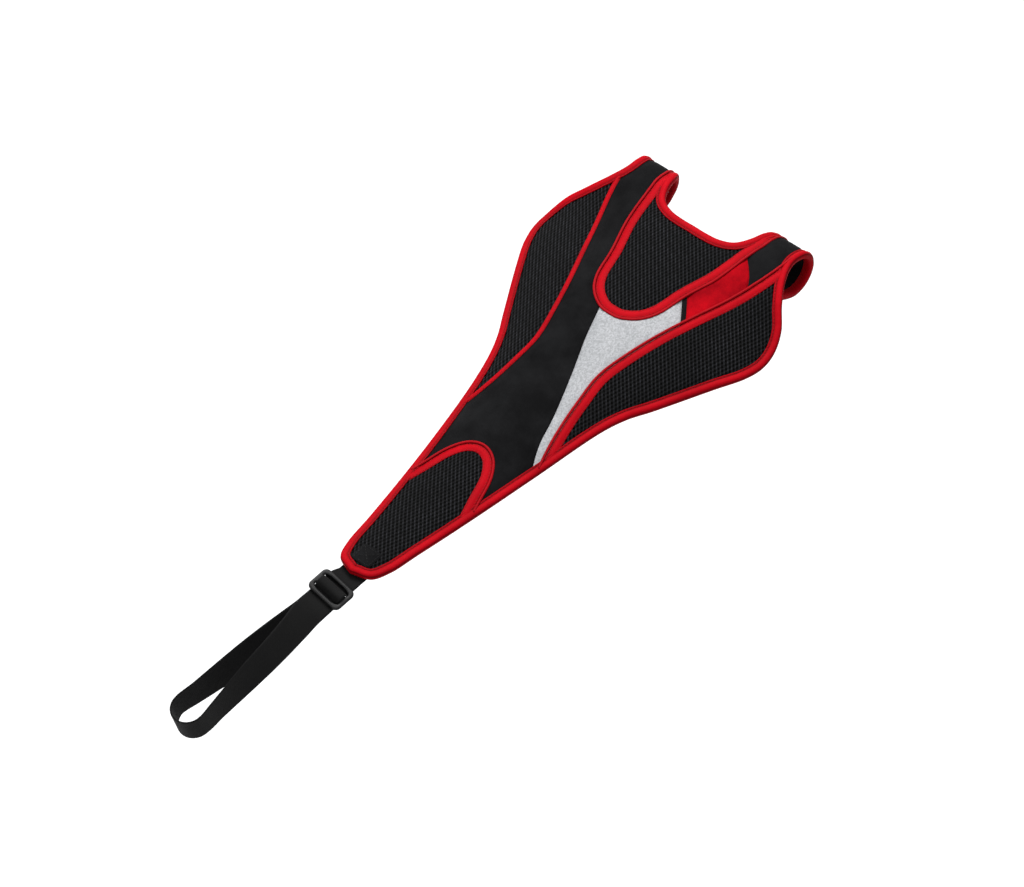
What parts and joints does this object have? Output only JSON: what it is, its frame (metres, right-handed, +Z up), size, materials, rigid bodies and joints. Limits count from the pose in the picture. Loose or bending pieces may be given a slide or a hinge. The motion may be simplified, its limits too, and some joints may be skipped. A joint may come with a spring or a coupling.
{
  "type": "bicycle sweat guard",
  "caption": "Drooping T-shaped cloth guard with mesh panels and bound edges, hung by tabs that wrap round a handlebar and a webbing strap with a slider round the seat post.",
  "frame": {"origin": "on the handlebar's axis, midway between the two tabs", "axes": "+X forward along the bicycle, +Y along the handlebar to the rider's left, +Z up"},
  "size_m": [0.6798, 0.2634, 0.136],
  "materials": {
    "black_cloth": "matt brushed knit over foam",
    "mesh_cloth": "matt open knit",
    "silver_cloth": "finely speckled",
    "red_cloth": "matt knit",
    "lining": "waterproof satin",
    "hook_tape": "stiff nylon hooks",
    "pile_tape": "soft loops",
    "binding_tape": "stitched tape",
    "seam_tape": "stitched tape",
    "piping": "corded edge",
    "webbing": "woven webbing",
    "slider_plastic": "moulded satin"
  },
  "bodies": {
    "root": {"centre_panel": "black_cloth", "silver_panel": "silver_cloth", "black_insert": "black_cloth", "red_panel": "red_cloth", "right_loop_panel": "black_cloth", "left_mesh_panel": "mesh_cloth", "right_mesh_panel": "mesh_cloth", "front_mesh_panel": "mesh_cloth", "tail_mesh_panel": "mesh_cloth", "backing_sheet": "lining", "left_bar_tab": "black_cloth", "left_hook_patch": "hook_tape", "left_pile_patch": "pile_tape", "right_bar_tab": "black_cloth", "right_hook_patch": "hook_tape", "right_pile_patch": "pile_tape", "edge_binding": "binding_tape", "left_seam_tape": "seam_tape", "right_seam_tape": "seam_tape", "right_seam_piping": "piping", "vee_seam_tape": "seam_tape", "vee_seam_piping": "piping", "tail_seam_tape": "seam_tape", "tail_seam_piping": "piping", "strap_webbing": "webbing", "strap_slider": "slider_plastic", "strap_anchor_patch": "black_cloth"}
  },
  "joints": []
}
